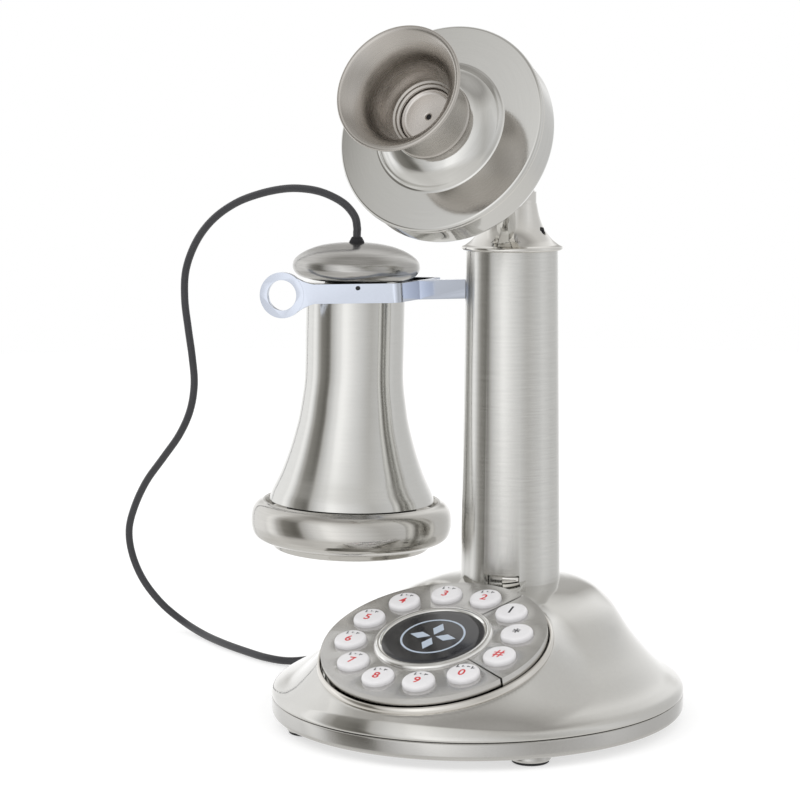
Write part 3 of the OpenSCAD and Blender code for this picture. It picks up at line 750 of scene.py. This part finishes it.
# ---------------------------------------------------------------- key ring
PLATE_LO, PLATE_HI = -5.2, -2.2
bezel = lathe("bezel_ring", [(45.5, -8.0), (47.15, -8.0), (47.3, -7.2, 0.4), (47.1, -6.2, 0.5),
                             (46.6, -5.5, 0.5), (45.95, -5.35, 0.3), (45.5, -5.9)], DIAL, 200, 0.3)
dress(bezel, "stand", "bezel", "bright_nickel", "dial_bezel")
tray = lathe("key_tray", [(0, -10.6), (44, -10.6), (44, -5.3), (42, -5.3), (42, -9.2), (22, -9.2),
                          (22, -5.3), (0, -5.3)], DIAL, 144, 0.2)
tray_low = lathe("key_tray_floor", [(0, -13.9), (45.2, -13.9), (45.2, -10.7), (0, -10.7)], DIAL, 144, 0.2)
dress(join("key_tray_all", [tray, tray_low]), "stand", "shade", "black_plastic", "dial_tray")


def key_frame(k):
    """The frame of the k-th key round the ring."""
    a = math.radians(15 + 30 * k)
    return DIAL @ at(KEY_RING_R * math.cos(a), KEY_RING_R * math.sin(a), 0)


def key_plate(name, outline, a0, a1, slot_node):
    """A sector of the ring with a hole for each key."""
    plate = lathe(name, outline, DIAL, 160, 0.0, a0, a1)
    carve(plate, [prism("cutter", disc(KEY_R + 0.12, 40), -20, 10, key_frame(k)) for k in range(12)])
    dress(edge_round(plate, 0.4, 4), "stand", "dial", "dial_nickel", slot_node)


key_plate("main_key_plate", box(19, PLATE_LO, 45, PLATE_HI), 60.8, 329.2, "dial_plate")
key_plate("side_key_plate", [(19, PLATE_LO), (44.3, PLATE_LO), (44.3, -7.3), (45.2, -7.3), (45.2, PLATE_HI),
                             (19, PLATE_HI)], -29.8, 59.8, "side_plate")

rim_ring = lathe("medallion_rim", [(20.3, -2.3), (23.7, -2.3), (23.7, -1.7, 0.4), (23.1, -1.0, 0.5),
                                   (22, -0.72, 0.5), (21, -0.95, 0.5), (20.3, -1.6, 0.4)], DIAL, 144, 0.4)
dress(rim_ring, "stand", "medal", "chrome", "medallion_ring")
face = lathe("medallion_face", [(0, -2.3), (20.6, -2.3), (20.6, -1.45), (18, -1.25), (0, -1.2)], DIAL,
             128, 0.3)
dress(face, "stand", "enamel", "black_enamel", "medallion_disc")
PRINT_LO, PRINT_HI = -1.26, -1.1
LOZENGE = [(1.2, 0), (5.5, -2.4), (9.8, 0), (5.5, 2.4)]
motif = [lathe("ring", box(12.2, PRINT_LO, 13, PRINT_HI), DIAL, 96, 0.05)]
motif += [prism("lozenge", LOZENGE, PRINT_LO, PRINT_HI, DIAL @ turned(90 * k, "Z")) for k in range(4)]
dress(join("medallion_print", motif), "stand", "print", "pale_print", "medallion_motif")
keep("key_mat", "rubber")
keep("circuit_board", "board")

# ---------------------------------------------------------------- keys
# node, sign on the cap, number of small marks above it
KEYS = [("key_star", "*", 0), ("key_1", "1", 0), ("key_2", "2", 3), ("key_3", "3", 3), ("key_4", "4", 3),
        ("key_5", "5", 3), ("key_6", "6", 3), ("key_7", "7", 3), ("key_8", "8", 3), ("key_9", "9", 3),
        ("key_0", "0", 4), ("key_hash", "#", 0)]
CAP = [(0, -7.6), (7.4, -7.6), (7.4, -5.7), (KEY_R, -5.7), (KEY_R, -1.3, 0.9), (6.1, -0.5, 0.9),
       (5.0, -0.14, 0.8), (3, -0.02, 0.8), (0, 0)]


def printed(name, text, size, y, z, matrix):
    """A sign as thin solid print."""
    cu = bpy.data.curves.new(name, "FONT")
    cu.body = text
    cu.size = size * MM
    cu.align_x = "CENTER"
    cu.align_y = "CENTER"
    cu.extrude = 0.03 * MM
    cu.offset = 0.09 * MM
    flat = bpy.data.objects.new(name, cu)
    scene.collection.objects.link(flat)
    bpy.context.view_layer.update()
    me = bpy.data.meshes.new_from_object(flat.evaluated_get(bpy.context.evaluated_depsgraph_get()))
    bpy.data.objects.remove(flat)
    bpy.data.curves.remove(cu)
    me.transform(matrix @ at(0, y, z))
    me.name = name
    ob = bpy.data.objects.new(name, me)
    scene.collection.objects.link(ob)
    return ob


def marks(name, count, y, z, matrix, high=1.9, wide=1.3, gap=0.75, line=0.42):
    """A row of small plain marks: an upright with one short bar at a height that changes along the row."""
    pieces = []
    low, top = y - high / 2, y + high / 2
    for k in range(count):
        left = (k - (count - 1) / 2) * (wide + gap) - wide / 2
        bar = low + (0.15, 0.5, 0.78, 0.3)[k] * (high - line)
        stem, right = left + line, left + wide
        outline = [(left, low), (stem, low), (stem, bar), (right, bar), (right, bar + line),
                   (stem, bar + line), (stem, top), (left, top)]
        pieces.append(prism("mark", outline, z - 0.02, z + 0.03, matrix))
    return join(name, pieces)


for k, (key, sign, count) in enumerate(KEYS):
    here = key_frame(k)
    dress(lathe(key + "_cap", CAP, here, 56, 0.5, angle=60), key, "key", "key_white", key)
    if count:
        dress(printed(key + "_digit", sign, 5.6, -1.3, 0.0, here), key, "red", "key_white")
        dress(marks(key + "_marks", count, 2.9, -0.05, here), key, "ink", "key_white")
    else:
        low = -1.4 if sign == "*" else -0.2
        colour = "red" if sign == "#" else "ink"
        dress(printed(key + "_digit", sign, 7.0, low, -0.01, here), key, colour, "key_white")

# ---------------------------------------------------------------- column
col = lathe("column_tube", [(16.6, 40), (20.8, 40), (20.8, 50), (19.1, 189), (16.6, 189)], COL, 192, 0.3)
foot_notch = prism("cut", box(-2.6, 2, 11.6, 22), 50, 56)
hook_slot = prism("cut", box(-30, 29.3, -10, 34.7), 163, 183)
carve(col, [foot_notch, hook_slot])
dress(edge_round(col, 0.35, 3), "stand", "column", "nickel", "column")
core = lathe("column_core", [(0, 20), (16.4, 20), (16.4, 139), (0, 139)], COL, 72, 0.3)
dress(core, "stand", "band", "nickel")
dress(refined("foot_latch", "column_latch", 0.3), "stand", "bright", "chrome", "column_latch")

collar_out = [(20.6, 189.0), (21.1, 189.5), (21.0, 190.5), (19.8, 191.0)]
collar_out += smooth_run([(19.4, 191.2), (17, 193), (14.9, 195.4), (13.2, 198), (11.9, 201), (11, 204),
                          (10.4, 207), (10.2, 208.2)], 4)
collar = lathe("column_collar", [(7.1, 186), (16.4, 186), (16.4, 189.0)] + collar_out + [(7.1, 208.2)],
               COL, 160, 0.25)
SCREWS = at(0, UPRIGHT_Y, 196.9)
carve(collar, [prism("cut", disc(1.75, 32), 10, 25, SCREWS @ turned(a, "Y")) for a in (-90, 90)])
dress(edge_round(collar, 0.15, 2), "stand", "bright", "bright_nickel", "collar")
dress(refined("collar_grub_screws", "set_screws", 0.12, 2), "stand", "rubber", "black_steel", "set_screws")
dress(refined("neck_knuckle", "neck", 0.5), "stand", "bright", "bright_nickel", "neck")
dress(refined("tilt_bolt", "tilt_screw", 0.35), "stand", "steel", "screw_steel", "tilt_screw")

# ---------------------------------------------------------------- hook
keep("hook_pin", "steel")
keep("hook_switch", "black")
dress(refined("hook_fork", "hook_lever", 0.8, 5), "hook", "hook", "hook_chrome", "hook_lever")
keep("hook_stud", "rubber")

# ---------------------------------------------------------------- transmitter head
cup_out = [(42, -2.4), (42, -13.6), (41.7, -14.8)] + smooth_run(
    [(41.0, -16.4), (38.6, -18.9), (33, -21.8), (25, -24.6), (16, -26.8), (8, -27.7), (0.0, -27.8)], 4)
cup_in = [(0, -25), (24, -22.3), (37.4, -16.8), (40, -13), (40, -2.4)]
dress(lathe("head_back", cup_out + cup_in, HEAD, 192, 0.2), "head", "head", "nickel", "head_cup")
bead = lathe("head_seam_bead", [(41.6, -2.9), (42.35, -2.9), (42.45, -2.6), (42.35, -2.2), (41.6, -2.2)],
             HEAD, 192, 0.15)
dress(bead, "head", "bright", "bright_nickel")
boss = lathe("head_boss", [(0, -26.5), (12.6, -26.5), (12.2, -28.6, 0.6), (11, -29.6, 0.8), (0, -29.6)],
             HEAD, 96, 0.4)
dress(boss, "head", "head", "nickel", "head_cup")

# the arm from the tilt screw to the boss: a flat bar with a round end
LUG = PIVOT @ turned(90, "Z") @ turned(90, "X")
LUG_WAY = math.atan2(0.0126, -0.03065)
LUG_LONG, LUG_END_R, LUG_HALF = 32.5, 7.6, 9
ca, sa = math.cos(LUG_WAY), math.sin(LUG_WAY)
lug_pts = [(LUG_END_R * math.cos(LUG_WAY + math.pi * (0.5 + k / 24)),
            LUG_END_R * math.sin(LUG_WAY + math.pi * (0.5 + k / 24))) for k in range(25)]
lug_pts += [(LUG_LONG * ca + half * sa, LUG_LONG * sa - half * ca) for half in (LUG_HALF, -LUG_HALF)]
lug = prism("head_lug", lug_pts, -5, 5, LUG)
carve(lug, [prism("cut", disc(2.56, 32), -9, 9, LUG)])
dress(edge_round(lug, 0.7, 4), "head", "head", "nickel", "head_cup")

face_out = [(42.0, -2.3), (42.4, -1.9), (42.4, -0.7, 0.5), (41.7, 0.0, 0.6), (26.9, 0.0, 0.5)] + smooth_run(
    [(26.2, 0.3), (25.4, 1.3), (24.6, 2.7), (23, 4.6), (20.8, 6.4), (18.4, 7.6), (16.4, 8.2)], 4)
dress(lathe("head_face", [(11.3, -2.3)] + face_out + [(11.3, 8.2)], HEAD, 192, 0.2), "head", "head",
      "nickel", "face_plate")
horn_out = smooth_run([(16.0, 8.2), (15.5, 9.2), (15.2, 11.5), (15.15, 15), (15.6, 20), (16.9, 26),
                       (18.9, 31), (21.6, 35.4), (23.8, 37.6)])
horn_lip = [(24.3, 37.9, 0.3), (24.7, 37.8, 0.2), (25.15, 38.1, 0.3), (25.2, 38.7, 0.4), (24.9, 39.2, 0.4),
            (24.3, 39.35, 0.3), (23.6, 39.2, 0.3), (23.1, 38.85, 0.2)]
horn_in = smooth_run([(22.4, 38.2), (20.0, 35.6), (17.5, 31.8), (15.4, 26.4), (14.1, 21), (13.7, 16),
                      (13.6, 13.6)])
horn = lathe("mouthpiece_horn", [(11.3, 8.2)] + horn_out + horn_lip + horn_in
             + [(12.6, 13.4), (12.4, 12.6), (11.3, 12.4)], HEAD, 176, 0.25)
dress(horn, "head", "horn", "horn_nickel", "mouthpiece")
grille = lathe("mic_grille_disc", [(0.95, 8.3), (11.1, 8.3), (11.1, 11.2), (10.4, 11.4), (9.8, 10.9),
                                   (9.2, 10.75), (1.5, 10.75), (1.0, 10.3)], HEAD, 96, 0.25)
dress(grille, "head", "grille", "bright_nickel", "mic_grille")
mic_hole = lathe("mic_hole", [(0, 8.4), (1.0, 8.4), (1.0, 10.0), (0, 10.0)], HEAD, 32, 0.1)
dress(mic_hole, "head", "rubber", "black_plastic")
keep("mic_capsule", "black")

# ---------------------------------------------------------------- receiver
dome_out = smooth_run([(14.4, 173.85), (19, 174.3), (23, 175.15), (25.2, 176.2), (26.5, 177.6),
                       (27.1, 179.2), (27.1, 180.5), (26.4, 182.6), (24.1, 184.7), (20.6, 186.7),
                       (15.9, 188.4), (10.3, 189.5), (5.2, 190.0)])
dome = lathe("receiver_top", [(0, 163.8), (13, 163.8), (13, 173.0, 0.8)] + dome_out + [(0, 190.0)], RX,
             160, 0.3, angle=60)
dress(dome, "receiver", "dome", "nickel", "receiver_dome")
body_top = [(0, 163.6), (13.1, 163.6), (13.1, 173), (20.6, 173, 0.5), (21.2, 172.4, 0.5)]
body_out = smooth_run([(21.2, 171.8), (21.2, 150), (21.2, 135), (21.6, 128), (22.4, 122), (23.5, 115),
                       (24.9, 109), (27.3, 100.5), (30.3, 92), (32.3, 87.5), (34.4, 83), (35.6, 79.2)], 6)
body_in = [(32.4, 79.2), (18.6, 120), (18.5, 160), (0, 160)]
bell = lathe("receiver_bell", body_top + body_out + body_in, RX, 176, 0.3, angle=50)
dress(bell, "receiver", "receiver", "nickel", "receiver_body")
cap_side = smooth_run([(38.7, 78.7), (40.8, 77.4), (42.4, 75.2), (43.1, 72.4), (43.2, 68.6), (42.5, 65.6)])
cap_low = smooth_run([(40.6, 63.1), (37.7, 61.7), (35.2, 60.8)], 4)
cap_foot = [(34.5, 60.0, 0.4), (33.4, 58.6, 0.6), (31.9, 58.0, 0.6), (29.5, 58.0, 0.8)]
cap_dish = smooth_run([(27.4, 59.4), (25.1, 62), (21.6, 64), (14.4, 65.6), (6.2, 66.3)], 4)
cap_in = [(6.2, 70), (30, 72.4), (36.0, 74.0), (36.7, 77.0)]
cap_out = [(37.5, 79.2, 0.4), (38.1, 79.1, 0.3)] + cap_side + [(41.8, 64.2, 0.5)] + cap_low + cap_foot
ear = lathe("receiver_ear_cap", cap_out + cap_dish + cap_in, RX, 192, 0.25, angle=50)
dress(ear, "receiver", "cap", "cap_nickel", "ear_cap")
keep("ear_capsule", "black")

# ---------------------------------------------------------------- ends of the cord
grommet = lathe("cord_grommet_body", [(0, 189.6), (3.3, 189.6), (3.2, 190.6, 0.4), (2.6, 191.6, 0.4),
                                      (2.2, 192.5, 0.3), (0, 192.5)], RX, 48, 0.3)
dress(grommet, "receiver", "rubber", "rubber", "cord_grommet")
gland = lathe("cord_gland_boot", [(0, -4), (2.2, -4), (2.2, 0.5), (3.0, 0.6), (3.0, 1.5), (2.5, 2.1),
                                  (2.6, 2.9), (2.2, 3.4), (2.35, 4.2), (2.0, 4.8), (2.0, 6.0), (0, 6.0)],
              GLAND, 40, 0.25)
dress(gland, "stand", "rubber", "rubber", "cord_gland")
